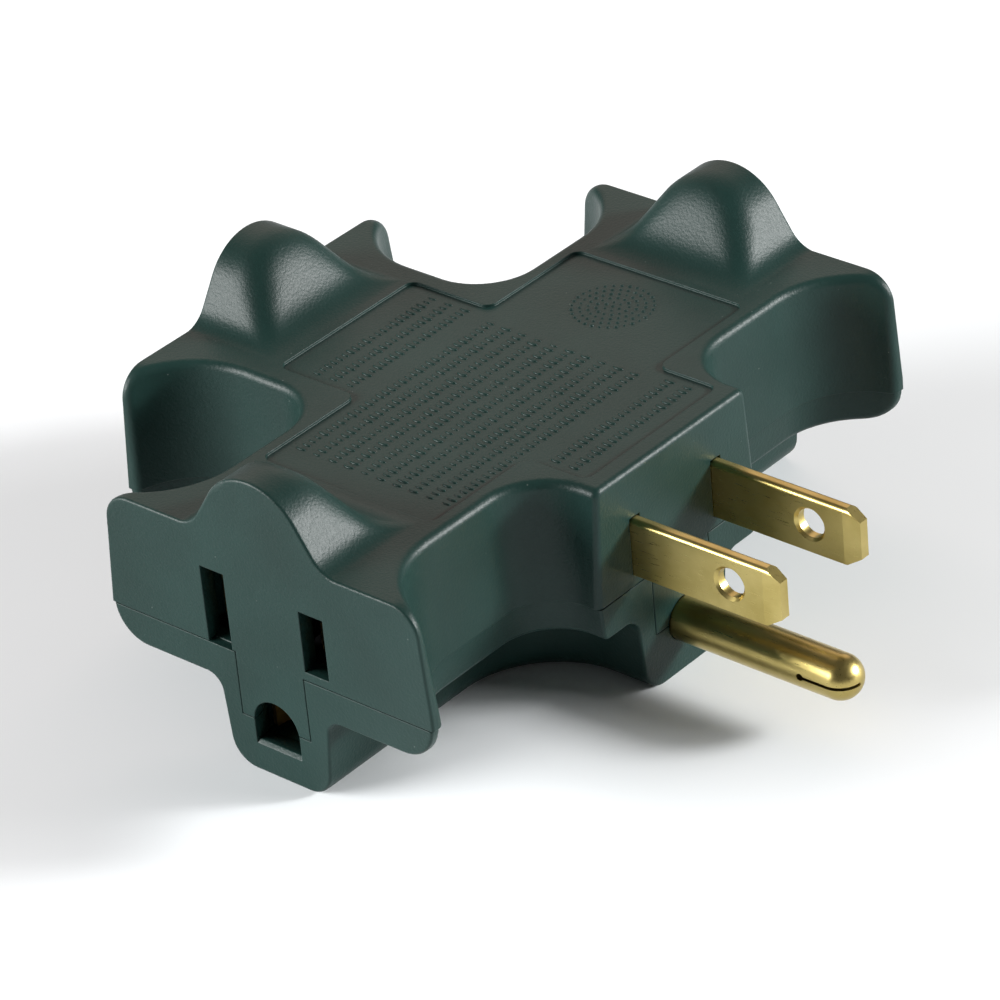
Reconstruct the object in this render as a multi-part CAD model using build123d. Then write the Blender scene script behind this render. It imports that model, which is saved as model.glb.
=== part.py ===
from build123d import *
from math import cos, radians, sin, sqrt, tan
import os

# Three-outlet plug adapter, in millimetres.
# Origin: centre of the plug face, midway between the two flat blades, at blade height.
# +X is the way the blades point, +Z is up, and the third prong (ground) lies below the blades.
# The cross has a short plug arm towards +X and an outlet arm towards -Y, +Y and -X.
# Every outlet arm is drawn pointing along +X from the cross centre and then turned to its place.

# Prong pattern of the 15 A, 125 V plug and outlet
blade_pitch = 12.7
ground_drop = 11.9
blade_width = 6.35
blade_thick = 1.5
blade_reach = 18.1
blade_tip_run = 1.7
blade_tip_rise = 1.1
blade_coin_length = 2.0
blade_coin_depth = 0.2
blade_fold_radius = 0.6
blade_hole_radius = 1.6
blade_hole_from_face = 12.0
blade_hole_bevel = 0.3
pin_radius = 2.4
pin_neck_radius = 2.2
pin_neck_out = 0.1
pin_recess_depth = 0.4
pin_bore_radius = 1.5
pin_reach = 21.7
pin_slit_width = 0.35
pin_slit_length = 5.6

# Cross plan
plug_arm_reach = 20.9
side_arm_reach = 37.3
end_arm_reach = 34.4
arm_half_width = 13.7
plug_half_width = 12.6
wall_draft = 4.0

# Flared outlet plate at the end of an arm, seen from above
flare_radius = 9.0
flare_start = 10.4
plug_bay_share = 0.764
end_bay_share = 0.534
wing_half_width = 21.0
wing_spare = 1.5

# Flared outlet plate, seen from the front
seam_z = -4.4
top_z = 8.65
floor_z = -8.3
wing_top_radius = 3.3
wing_bottom_radius = 4.0
wing_side_draft = 4.5
shoulder_radius = 1.0
sole_edge_radius = 0.8
plug_edge_radius = 0.7
outlet_edge_radius = 0.3

# Centre hump of each outlet arm
hump_top_z = 16.2
hump_crown_radius = 6.6
hump_flank_angle = 57.0
hump_foot_radius = 3.5
ramp_land = 2.4
ramp_crown_radius = 4.2
ramp_angle = 56.0
ramp_foot_radius = 5.5
hump_crease_radius = 2.8
hump_least_crease = 0.05
hump_root_depth = 1.5
hump_sink = 0.04
ramp_rise = 0.06

# Keel below the outlets, where the ground parts lie
keel_bottom_z = -17.85
keel_half_width = 7.1
keel_draft = 5.0
keel_bay_radius = 9.0
keel_edge_radius = 3.0
keel_root_radius = 1.8

# Shells
wall = 2.3
sole_wall = 2.2
face_wall = 2.6
seam_step = 0.3
seam_gap = 0.12
seam_land_inset = 1.0
panel_depth = 0.3
panel_half_x = 11.0
panel_half_y = 10.3
panel_to_outlet_face = 12.9
panel_to_plug_face = 2.3
panel_corner_radius = 1.2
tongue_half_width = 4.4
tongue_bottom_z = -11.6
tongue_gap = 0.12
trench_half_width = 4.3
trench_bay_radius = 5.5

# Slots and ground hole of an outlet
slot_width = 3.1
hot_slot_height = 6.9
neutral_slot_height = 8.65
ground_hole_half_width = 2.95
ground_hole_below = 2.3
ground_sill_bevel = 0.8

# Alignment posts between the shells
post_offset = 11.2
post_radius = 1.8
spigot_radius = 0.95
spigot_length = 3.0
spigot_gap = 0.05

# Brass strips, contacts and rivets
strip_thick = 0.8
strip_half_width = 2.6
ground_strip_half_width = 3.0
clip_thick = 0.5
clip_height = 6.0
clip_length = 14.5
clip_pinch_gap = 1.1
clip_back_gap = 3.0
clip_mouth_gap = 2.8
ground_clip_thick = 0.6
ground_clip_height = 4.6
ground_clip_length = 13.5
ground_clip_pinch_gap = 4.4
ground_clip_back_gap = 5.0
ground_clip_mouth_gap = 5.8
tab_thick = 0.6
tab_length = 5.6
blade_tab_length = 7.4
blade_tail = 5.6
blade_neck = 2.0
pin_tail = 6.0
pin_tab_length = 7.0
divider_thick = 0.5
divider_half_width = 9.1
rivet_radius = 1.0
rivet_head_radius = 1.6
rivet_head_height = 0.5
rivet_gap = 0.05
mouth_gap = 0.4
prong_gap = 0.05
rib_thick = 1.2
pocket_rib_length = 8.0
pocket_rib_thick = 0.9
pocket_rib_z = -3.6
pocket_gap = 0.2
clip_rivet = 3.2
blade_rivet = 2.8
pin_rivet = 3.8
strip_corner_radius = 1.0
tab_corner_radius = 0.6
tab_half_width = 2.2
clip_neck_half_width = 1.1
clip_bend_radius = 0.6
clip_shoulder = 4.5
pinch_from_mouth = 3.4
blade_groove_width = 0.12
blade_groove_depth = 0.35
pin_eye_radius = 0.4
pin_tab_lap = 2.0

# Places that follow from the sizes above
cross_x = -plug_arm_reach
half_pitch = blade_pitch / 2
plug_bay_radius = plug_bay_share * (plug_arm_reach - arm_half_width)
end_bay_radius = end_bay_share * (end_arm_reach - flare_start - arm_half_width)
ceiling_z = top_z - panel_depth - wall
tray_z = floor_z + sole_wall
pin_bottom_z = -ground_drop - pin_radius
trench_z = pin_bottom_z - strip_thick
neutral_strip_z = ceiling_z - strip_thick
hot_strip_z = tray_z + divider_thick

# Construction lengths: how far a cut runs past a face, how deep a rib is sunk into a wall,
# how near two places count as one; and the angle up to which two faces count as flush
cut = 1.0
sink = 0.5
overshoot = 3.0
far = 60.0
tiny = 0.01
flush_angle = 11.5

# Outlet arms: name, turn about Z and reach of the outlet face from the cross centre
side_arm = ("front", -90, side_arm_reach)
far_arm = ("rear", 90, side_arm_reach)
end_arm = ("end", 180, end_arm_reach)
outlet_arms = (side_arm, far_arm, end_arm)


def on_arm(shape, turn):
    """Move a shape drawn along +X from the cross centre to its own arm."""
    return Pos(cross_x, 0, 0) * Rot(0, 0, turn) * shape


def slab(x0, x1, y0, y1, z0, z1):
    """A box given by its two corners."""
    size = (x1 - x0, y1 - y0, z1 - z0)
    return Pos((x0 + x1) / 2, (y0 + y1) / 2, (z0 + z1) / 2) * Box(*size)


def arm_plan(reach, half_width, inset):
    """Half-open outline of an outlet arm from above, with its two concave flares."""
    side = half_width - inset
    radius = flare_radius + inset
    flare_u = reach - flare_start
    tip_v = wing_half_width + wing_spare
    tip_u = flare_u + sqrt(radius**2 - (half_width + flare_radius - tip_v) ** 2)
    mid_v = half_width + flare_radius - radius * cos(radians(45))
    mid_u = flare_u + radius * sin(radians(45))
    end_u = reach + overshoot
    with BuildSketch() as plan:
        with BuildLine():
            Polyline((0, -side), (0, side), (flare_u, side))
            ThreePointArc((flare_u, side), (mid_u, mid_v), (tip_u, tip_v))
            Polyline((tip_u, tip_v), (end_u, tip_v), (end_u, -tip_v), (tip_u, -tip_v))
            ThreePointArc((tip_u, -tip_v), (mid_u, -mid_v), (flare_u, -side))
            Line((flare_u, -side), (0, -side))
        make_face()
    return plan.sketch


def cross_plan(inset):
    """Outline of the whole cross from above, with rounded bays between the arms."""
    plug_side = plug_half_width - inset
    plug_end = plug_arm_reach + overshoot
    plan = Pos(plug_end / 2, 0) * Rectangle(plug_end, 2 * plug_side)
    for _, turn, reach in outlet_arms:
        plan += Rot(0, 0, turn) * arm_plan(reach, arm_half_width, inset)
    return rounded_bays(plan, inset)


def rounded_bays(plan, inset):
    """Round the inner corners of a cross, first beside the plug arm and then beside the end arm."""
    for side, radius in ((1, plug_bay_radius + inset), (-1, end_bay_radius + inset)):
        corners = [corner for corner in plan.vertices() if corner.X * side > 0]
        plan = fillet(ShapeList(corners).sort_by_distance((0, 0, 0))[:2], radius)
    return plan


def drafted_cross(plan, z_from, z_to, angle):
    """Extrude a plan and lean its side walls inwards, away from z_from."""
    block = extrude(Pos(0, 0, z_from) * plan, z_to - z_from)
    sides = block.faces().filter_by(Axis.Z, reverse=True)
    pull = Plane((0, 0, z_from), z_dir=(0, 0, 1 if z_to > z_from else -1))
    return draft(sides, pull, angle)


def wing_top_corner():
    """What lies outside a wing's leaning side and rounded top corner, in the (v, z) plane."""
    lean = tan(radians(wing_side_draft))
    corner_z = top_z - wing_top_radius
    side_v = wing_half_width - (corner_z - seam_z) * lean
    arc = wing_top_radius
    with BuildSketch() as waste:
        with BuildLine():
            Line((side_v + (corner_z - seam_z + cut) * lean, seam_z - cut), (side_v, corner_z))
            ThreePointArc(
                (side_v, corner_z),
                (side_v - arc * (1 - cos(radians(45))), corner_z + arc * sin(radians(45))),
                (side_v - arc, top_z),
            )
            far_v = wing_half_width + 2 * overshoot
            Polyline(
                (side_v - arc, top_z),
                (side_v - arc, top_z + cut),
                (far_v, top_z + cut),
                (far_v, seam_z - cut),
                (side_v + (corner_z - seam_z + cut) * lean, seam_z - cut),
            )
        make_face()
    return waste.sketch


def wing_bottom_corner():
    """What lies outside a wing's rounded bottom corner, in the (v, z) plane."""
    side_v = wing_half_width - seam_step
    arc = wing_bottom_radius
    arc_z = floor_z + arc
    with BuildSketch() as waste:
        with BuildLine():
            far_v = wing_half_width + 2 * overshoot
            Polyline(
                (side_v - arc, floor_z),
                (side_v - arc, floor_z - cut),
                (far_v, floor_z - cut),
                (far_v, seam_z + cut),
                (side_v, seam_z + cut),
                (side_v, arc_z),
            )
            ThreePointArc(
                (side_v, arc_z),
                (side_v - arc * (1 - cos(radians(45))), arc_z - arc * sin(radians(45))),
                (side_v - arc, floor_z),
            )
        make_face()
    return waste.sketch


def along_arm(sketch, u_from, u_to):
    """Extrude a (v, z) outline along an arm."""
    return extrude(Plane((u_from, 0, 0), x_dir=(0, 1, 0), z_dir=(1, 0, 0)) * sketch, u_to - u_from)


def trim_wings(block, waste):
    """Shape the wing ends of every outlet arm and cut the arms off at their faces."""
    for _, turn, reach in outlet_arms:
        corner = along_arm(waste, reach - flare_start - cut, reach + 2 * overshoot)
        block -= Rot(0, 0, turn) * corner
        block -= Rot(0, 0, turn) * mirror(corner, Plane.XZ)
        block -= Rot(0, 0, turn) * slab(reach, reach + far, -far, far, -far, far)
    return block - slab(plug_arm_reach, plug_arm_reach + far, -far, far, -far, far)


def sharp_edges(block, skipped_faces):
    """Edges where two faces meet at an angle, apart from those of the skipped faces."""
    found = []
    for edge in block.edges():
        faces = [face for face in block.faces() if edge in face.edges()]
        if len(faces) != 2 or any(face in skipped_faces for face in faces):
            continue
        first, second = (face.normal_at(edge @ 0.5) for face in faces)
        if first.dot(second) < cos(radians(flush_angle)):
            found.append(edge)
    return found


def end_faces(block):
    """The upright flat faces in which the arms end."""
    return [face for face in block.faces().filter_by(GeomType.PLANE) if abs(face.normal_at().Z) < tiny]


def hump_section():
    """The bell-shaped outline of a hump from the front, in the (v, z) plane."""
    base_z = top_z - hump_sink
    angle = radians(hump_flank_angle)
    half = angle / 2
    crown_v = hump_crown_radius * sin(angle)
    crown_z = hump_top_z - hump_crown_radius * (1 - cos(angle))
    foot_z = base_z + hump_foot_radius * (1 - cos(angle))
    foot_v = crown_v + (crown_z - foot_z) / tan(angle)
    end_v = foot_v + hump_foot_radius * sin(angle)
    mid_v = end_v - hump_foot_radius * sin(half)
    mid_z = base_z + hump_foot_radius * (1 - cos(half))
    root_z = top_z - hump_root_depth
    with BuildSketch() as section:
        with BuildLine():
            ThreePointArc((-crown_v, crown_z), (0, hump_top_z), (crown_v, crown_z))
            Line((crown_v, crown_z), (foot_v, foot_z))
            ThreePointArc((foot_v, foot_z), (mid_v, mid_z), (end_v, base_z))
            Polyline((end_v, base_z), (end_v, root_z), (-end_v, root_z), (-end_v, base_z))
            ThreePointArc((-end_v, base_z), (-mid_v, mid_z), (-foot_v, foot_z))
            Line((-foot_v, foot_z), (-crown_v, crown_z))
        make_face()
    return section.sketch


def hump_ramp(reach):
    """The side outline of a hump, from the label panel up to the outlet face, in the (u, z) plane."""
    base_z = top_z - hump_sink
    land_z = hump_top_z + ramp_rise
    angle = radians(ramp_angle)
    half = angle / 2
    land_u = reach - ramp_land
    crown_u = land_u - ramp_crown_radius * sin(angle)
    crown_z = land_z - ramp_crown_radius * (1 - cos(angle))
    foot_z = base_z + ramp_foot_radius * (1 - cos(angle))
    foot_u = crown_u - (crown_z - foot_z) / tan(angle)
    start_u = foot_u - ramp_foot_radius * sin(angle)
    root_z = top_z - hump_root_depth
    crown_mid = (land_u - ramp_crown_radius * sin(half), land_z - ramp_crown_radius * (1 - cos(half)))
    foot_mid = (start_u + ramp_foot_radius * sin(half), base_z + ramp_foot_radius * (1 - cos(half)))
    with BuildSketch() as ramp:
        with BuildLine():
            Polyline((start_u, base_z), (start_u, root_z), (reach, root_z))
            Polyline((reach, root_z), (reach, land_z), (land_u, land_z))
            ThreePointArc((land_u, land_z), crown_mid, (crown_u, crown_z))
            Line((crown_u, crown_z), (foot_u, foot_z))
            ThreePointArc((foot_u, foot_z), foot_mid, (start_u, base_z))
        make_face()
    return ramp.sketch


def hump(reach):
    """The bell outline crossed with the ramp, with the two creases between them rounded."""
    base_z = top_z - hump_sink
    bell = along_arm(hump_section(), 0, reach)
    half_span = wing_half_width
    side_view = Plane((0, half_span, 0), x_dir=(1, 0, 0), z_dir=(0, -1, 0))
    block = bell & extrude(side_view * hump_ramp(reach), 2 * half_span)
    outer = [edge for edge in block.edges() if edge.bounding_box().min.Z > base_z - tiny]
    sizes = [(edge, edge.bounding_box().size) for edge in outer]
    creases = [edge for edge, size in sizes if min(size.X, size.Z) > hump_least_crease]
    return fillet(creases, hump_crease_radius)


def inner_cross(side_inset, end_inset):
    """A plain cross inside the walls, with the arms' ends set back from their faces."""
    plan = Pos(far / 2, 0) * Rectangle(far, 2 * (plug_half_width - side_inset))
    arm = Pos(far / 2, 0) * Rectangle(far, 2 * (arm_half_width - side_inset))
    for _, turn, _ in outlet_arms:
        plan += Rot(0, 0, turn) * arm
    plan = rounded_bays(plan, side_inset)
    for turn, end in arm_ends(end_inset):
        plan -= Rot(0, 0, turn) * (Pos(end + far / 2, 0) * Rectangle(far, far))
    return plan


def cross_bars(half_width, bay, ends):
    """A cross of four straight bars of one width, with its bays rounded."""
    bars = Rectangle(2 * half_width, 2 * half_width)
    for turn, end in ends:
        bars += Rot(0, 0, turn) * (Pos(end / 2, 0) * Rectangle(end, 2 * half_width))
    return fillet(bars.vertices().sort_by_distance((0, 0, 0))[:4], bay)


def arm_ends(inset):
    """Turn and length of each arm, the plug arm first, set back from its face."""
    ends = [(0, plug_arm_reach - inset)]
    ends += [(turn, reach - inset) for _, turn, reach in outlet_arms]
    return ends


def beyond_faces():
    """Everything that lies beyond the four end faces."""
    space = [Rot(0, 0, turn) * slab(end, end + far, -far, far, -far, far) for turn, end in arm_ends(0)]
    return space[0] + space[1:]


def rim_edges(block, seam, on_plug):
    """Edges round an end face, apart from the one on the seam."""
    found = []
    for face in end_faces(block):
        if (face.center().X > plug_arm_reach - tiny) != on_plug:
            continue
        for edge in face.edges():
            box = edge.bounding_box()
            if max(abs(box.min.Z - seam), abs(box.max.Z - seam)) > tiny:
                found.append(edge)
    return found


def upper_form():
    """The outside of the upper shell: leaning walls, flared outlet plates and three humps."""
    block = trim_wings(drafted_cross(cross_plan(0), seam_z, top_z, wall_draft), wing_top_corner())
    seam_face = block.faces().sort_by(Axis.Z)[0]
    block = fillet(sharp_edges(block, end_faces(block) + [seam_face]), shoulder_radius)
    for _, turn, reach in outlet_arms:
        block += Rot(0, 0, turn) * hump(reach)
    block = fillet(rim_edges(block, seam_z, False), outlet_edge_radius)
    return fillet(rim_edges(block, seam_z, True), plug_edge_radius)


def label_panel():
    """The sunk panel on top, a smaller cross with rounded corners."""
    plug_end = plug_arm_reach - panel_to_plug_face
    far_end = end_arm_reach - panel_to_outlet_face
    panel = Pos((plug_end - far_end) / 2, 0) * Rectangle(plug_end + far_end, 2 * panel_half_y)
    panel += Rectangle(2 * panel_half_x, 2 * (side_arm_reach - panel_to_outlet_face))
    panel = fillet(panel.vertices(), panel_corner_radius)
    return extrude(Pos(0, 0, top_z - panel_depth) * panel, cut)


def ground_hole(reach):
    """The arch-topped hole for the ground prong, through the face wall, with its bevelled sill."""
    half = ground_hole_half_width
    sill_z = -ground_drop - ground_hole_below
    with BuildSketch() as outline:
        with BuildLine():
            Polyline((-half, -ground_drop), (-half, sill_z), (half, sill_z), (half, -ground_drop))
            ThreePointArc((half, -ground_drop), (0, half - ground_drop), (-half, -ground_drop))
        make_face()
    hole = along_arm(outline.sketch, reach - face_wall - cut, reach + cut)
    with BuildSketch() as bevel:
        with BuildLine():
            start_u = reach - ground_sill_bevel
            drop = ground_sill_bevel + cut
            end_u = start_u + drop
            Polyline((start_u, sill_z), (end_u, sill_z - drop), (end_u, sill_z), (start_u, sill_z))
        make_face()
    side_view = Plane((0, half, 0), x_dir=(1, 0, 0), z_dir=(0, -1, 0))
    return hole + extrude(side_view * bevel.sketch, 2 * half)


def tongue(reach, gap, depth):
    """The strip that closes the face wall above the ground prong."""
    half = tongue_half_width + gap
    return slab(reach - face_wall, reach + depth, -half, half, tongue_bottom_z - gap, seam_z)


def outlet_slots(reach):
    """The two flat slots of an outlet; the tall neutral one is open down to the seam."""
    u0 = reach - face_wall - cut
    u1 = reach + cut
    half = slot_width / 2
    tall = hot_slot_height / 2
    top = seam_z + neutral_slot_height
    hot = slab(u0, u1, half_pitch - half, half_pitch + half, -tall, tall)
    return hot + slab(u0, u1, -half_pitch - half, -half_pitch + half, seam_z - cut, top)


def barrier(start, end):
    """The rib that keeps the two poles apart, hung from the ceiling."""
    return slab(start, end + sink, -rib_thick / 2, rib_thick / 2, seam_z, ceiling_z + sink)


def pocket_ribs(end):
    """The two ribs beside the contacts, hung from the ceiling behind the face wall."""
    near = half_pitch + strip_half_width + pocket_gap
    start = end - pocket_rib_length
    rib = slab(start, end + sink, near, near + pocket_rib_thick, pocket_rib_z, ceiling_z + sink)
    return rib + mirror(rib, Plane.XZ)


def on_posts(shape):
    """Copies of a shape at the four inner corners where the shells are pinned together."""
    places = [(x, y) for x in (-post_offset, post_offset) for y in (-post_offset, post_offset)]
    return [Pos(x, y, 0) * shape for x, y in places]


def rod(radius, z_from, z_to):
    """An upright round rod between two heights."""
    return Pos(0, 0, (z_from + z_to) / 2) * Cylinder(radius, z_to - z_from)


def blade_passage():
    """The slots in the plug face that the two flat blades come out of."""
    near = half_pitch - blade_thick / 2 - prong_gap
    off = half_pitch + blade_thick / 2 + prong_gap
    half_high = blade_width / 2 + prong_gap
    slot = slab(-face_wall - cut, cut, near, off, -half_high, half_high)
    return slot + mirror(slot, Plane.XZ)


def pin_passage():
    """The round hole for the pin's neck, with a shallow recess round the full pin at the face."""
    inner = Plane((-face_wall - cut, 0, -ground_drop), z_dir=(1, 0, 0))
    outer = Plane((-pin_recess_depth, 0, -ground_drop), z_dir=(1, 0, 0))
    hole = extrude(inner * Circle(pin_neck_radius + prong_gap), face_wall + 2 * cut)
    return hole + extrude(outer * Circle(pin_radius + prong_gap), pin_recess_depth + cut)


def head_pockets(places, z_from, z_to):
    """Round pockets that leave room for rivet heads."""
    pocket = rod(rivet_head_radius + pocket_gap, z_from, z_to)
    return [Pos(x, y, 0) * pocket for x, y in places]


def upper_housing():
    """The upper moulded shell."""
    shell = upper_form() - label_panel()
    shell -= extrude(Pos(0, 0, seam_z) * inner_cross(wall, face_wall), ceiling_z - seam_z)
    start = arm_half_width - wall
    for _, turn, reach in outlet_arms:
        end = reach - face_wall
        shell += Rot(0, 0, turn) * (tongue(reach, 0, 0) + barrier(start, end) + pocket_ribs(end))
        shell -= Rot(0, 0, turn) * (outlet_slots(reach) + ground_hole(reach))
    shell += tongue(plug_arm_reach, 0, 0) + barrier(start, plug_arm_reach - face_wall)
    shell += on_posts(rod(post_radius, seam_z, ceiling_z + sink))
    shell -= on_posts(rod(spigot_radius + spigot_gap, seam_z, seam_z + spigot_length + sink))
    shell = Pos(cross_x, 0, 0) * shell - blade_passage() - pin_passage()
    pocket_top = ceiling_z + rivet_head_height + pocket_gap
    return shell - head_pockets(neutral_rivet_places(), ceiling_z - cut, pocket_top)


def keel_form():
    """The outside of the keel: a narrow cross with leaning walls and a round bottom edge."""
    plan = cross_bars(keel_half_width, keel_bay_radius, arm_ends(-overshoot))
    keel = drafted_cross(plan, floor_z, keel_bottom_z, keel_draft)
    bottom = keel.faces().sort_by(Axis.Z)[0]
    sides = [edge for edge in bottom.edges() if not closes_bar(edge)]
    return fillet(sides, keel_edge_radius) - beyond_faces()


def closes_bar(edge):
    """Whether an edge closes the end of a bar, across its arm."""
    box = edge.bounding_box()
    middle = edge @ 0.5
    across_x = box.size.X < tiny and abs(middle.X) > plug_arm_reach
    across_y = box.size.Y < tiny and abs(middle.Y) > plug_arm_reach
    return across_x or across_y


def keel_roots(block):
    """Edges where a leaning keel wall meets the flat underside of the sole."""
    under = [face for face in block.faces() if abs(face.center().Z - floor_z) < tiny]
    under = [face for face in under if face.normal_at().Z < tiny - 1]
    leaning = [face for face in block.faces() if face.bounding_box().min.Z < floor_z - cut]
    leaning = [face for face in leaning if face not in end_faces(block)]
    edges = [edge for face in under for edge in face.edges()]
    return [edge for edge in edges if any(edge in face.edges() for face in leaning)]


def lower_form():
    """The outside of the lower shell: the sole under the plates, and the keel below it."""
    rim_z = seam_z - seam_gap
    sole = drafted_cross(cross_plan(seam_step), rim_z, floor_z, wall_draft)
    sole = trim_wings(sole, wing_bottom_corner())
    rim_face = sole.faces().sort_by(Axis.Z)[-1]
    sole = fillet(sharp_edges(sole, end_faces(sole) + [rim_face]), sole_edge_radius)
    block = sole + keel_form()
    block = fillet(keel_roots(block), keel_root_radius)
    return fillet(rim_edges(block, rim_z, False) + rim_edges(block, rim_z, True), outlet_edge_radius)


def lower_housing():
    """The lower moulded shell: tray, keel trench, face walls and posts."""
    shell = lower_form()
    shell += extrude(Pos(0, 0, seam_z - sink) * inner_cross(seam_land_inset, seam_land_inset), sink)
    shell -= extrude(Pos(0, 0, tray_z) * inner_cross(wall, face_wall), seam_z - tray_z)
    trench = cross_bars(trench_half_width, trench_bay_radius, arm_ends(face_wall))
    shell -= extrude(Pos(0, 0, trench_z) * trench, far)
    for _, turn, reach in outlet_arms:
        shell -= Rot(0, 0, turn) * (tongue(reach, tongue_gap, cut) + ground_hole(reach))
        shell -= Rot(0, 0, turn) * Pos(-sink, 0, 0) * tongue(reach, tongue_gap, 0)
    shell -= tongue(plug_arm_reach, tongue_gap, cut)
    shell -= Pos(-sink, 0, 0) * tongue(plug_arm_reach, tongue_gap, 0)
    shell += on_posts(rod(post_radius, tray_z - sink, seam_z))
    shell += on_posts(rod(spigot_radius, seam_z - sink, seam_z + spigot_length))
    shell = Pos(cross_x, 0, 0) * shell - pin_passage()
    pocket_bottom = trench_z - rivet_head_height - pocket_gap
    return shell - head_pockets(ground_rivet_places(), pocket_bottom, trench_z + cut)


def place_on_arm(u, v, turn):
    """Where a point of an arm lies in the adapter's own frame."""
    angle = radians(turn)
    return (cross_x + u * cos(angle) - v * sin(angle), u * sin(angle) + v * cos(angle))


def clip_back(reach):
    """How far out the closed back of a neutral or hot contact lies."""
    return reach - face_wall - mouth_gap - clip_length


def ground_back(reach):
    """How far out the closed back of a ground contact lies."""
    return reach - face_wall - mouth_gap - ground_clip_length


def neutral_rivet_places():
    """Rivets of the neutral parts: one in each contact and one in the blade."""
    places = []
    for _, turn, reach in outlet_arms:
        places.append(place_on_arm(clip_back(reach) + clip_rivet, -half_pitch, turn))
    return places + [(-blade_tail - blade_rivet, half_pitch)]


def hot_rivet_places():
    """The hot parts mirror the neutral ones across the adapter."""
    return [(x, -y) for x, y in neutral_rivet_places()]


def ground_rivet_places():
    """Rivets of the ground parts: one behind each contact and one in the pin's tab."""
    places = []
    for _, turn, reach in outlet_arms:
        places.append(place_on_arm(ground_back(reach) - clip_rivet, 0, turn))
    return places + [(-pin_tail - pin_rivet, 0)]


def rivets(places, z_from, z_to):
    """Rivets with a flat head at both ends of the sheets that they hold."""
    rivet = rod(rivet_radius, z_from, z_to)
    rivet += rod(rivet_head_radius, z_from - rivet_head_height, z_from)
    rivet += rod(rivet_head_radius, z_to, z_to + rivet_head_height)
    return Compound(children=[Pos(x, y, 0) * rivet for x, y in places])


def rivet_holes(places):
    """The holes that the rivets pass through."""
    return [Pos(x, y, 0) * rod(rivet_radius + rivet_gap, -far, far) for x, y in places]


def neutral_strip():
    """The brass strip under the ceiling that joins the neutral blade to three contacts."""
    half = strip_half_width
    plug_end = plug_arm_reach - blade_tail + blade_neck
    end_end = clip_back(end_arm_reach) + tab_length
    plan = Pos((plug_end - end_end) / 2, half_pitch) * Rectangle(plug_end + end_end, 2 * half)
    for (_, turn, reach), start in ((side_arm, -half_pitch - half), (far_arm, half_pitch - half)):
        end = clip_back(reach) + tab_length
        plan += Rot(0, 0, turn) * (Pos((start + end) / 2, -half_pitch) * Rectangle(end - start, 2 * half))
    plan = fillet(plan.vertices(), strip_corner_radius)
    sheet = Pos(cross_x, 0, neutral_strip_z) * extrude(plan, strip_thick)
    return sheet - rivet_holes(neutral_rivet_places())


def hot_strip():
    """The same strip mirrored, lying on the divider sheet."""
    return Pos(0, 0, hot_strip_z - neutral_strip_z) * mirror(neutral_strip(), Plane.XZ)


def ground_strip():
    """The brass cross on the floor of the keel."""
    ends = [(turn, ground_back(reach)) for _, turn, reach in outlet_arms]
    ends += [(0, plug_arm_reach - pin_tail)]
    plan = cross_bars(ground_strip_half_width, strip_corner_radius, ends)
    sheet = Pos(cross_x, 0, trench_z) * extrude(plan, strip_thick)
    return sheet - rivet_holes(ground_rivet_places())


def divider_sheet():
    """The fibre sheet over the keel trench that keeps the ground parts apart from the hot ones."""
    ends = arm_ends(face_wall + mouth_gap)
    sheet = Rectangle(2 * divider_half_width, 2 * divider_half_width)
    for turn, end in ends:
        sheet += Rot(0, 0, turn) * (Pos(end / 2, 0) * Rectangle(end, 2 * divider_half_width))
    sheet = Pos(cross_x, 0, tray_z) * extrude(sheet, divider_thick)
    return sheet - head_pockets(hot_rivet_places(), tray_z - cut, tray_z + divider_thick + cut)


def spring_clip(length, thick, height, back_gap, pinch_gap, mouth_gap):
    """A springy U of sheet brass: closed back, narrow pinch and a mouth that opens again."""
    back = (back_gap + thick) / 2
    leaf = [
        (length, (mouth_gap + thick) / 2),
        (length - pinch_from_mouth, (pinch_gap + thick) / 2),
        (clip_shoulder, back),
        (thick / 2, back),
    ]
    other = [(u, -v) for u, v in reversed(leaf)]
    with BuildSketch() as plan:
        with BuildLine():
            FilletPolyline(*leaf, *other, radius=clip_bend_radius)
        trace(line_width=thick)
    return extrude(plan.sketch, height)


def pole_contact(tab_z):
    """A blade contact, its back wall raised to a tab that is riveted against a strip at tab_z."""
    clip = spring_clip(clip_length, clip_thick, clip_height, clip_back_gap, clip_pinch_gap, clip_mouth_gap)
    clip = Pos(0, 0, -clip_height / 2) * clip
    neck = slab(0, clip_thick, -clip_neck_half_width, clip_neck_half_width, 0, tab_z)
    tab = slab(0, tab_length, -tab_half_width, tab_half_width, tab_z - tab_thick, tab_z)
    tab = fillet(tab.edges().filter_by(Axis.Z), tab_corner_radius)
    return clip + neck + tab - Pos(clip_rivet, 0, 0) * rod(rivet_radius + rivet_gap, 0, far)


def ground_contact():
    """A ground contact, with a tab behind it on the ground strip."""
    clip = spring_clip(
        ground_clip_length,
        ground_clip_thick,
        ground_clip_height,
        ground_clip_back_gap,
        ground_clip_pinch_gap,
        ground_clip_mouth_gap,
    )
    tab = slab(-tab_length, ground_clip_thick, -tab_half_width, tab_half_width, 0, tab_thick)
    tab -= Pos(-clip_rivet, 0, 0) * rod(rivet_radius + rivet_gap, -far, far)
    return Pos(0, 0, pin_bottom_z) * (clip + tab)


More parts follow.
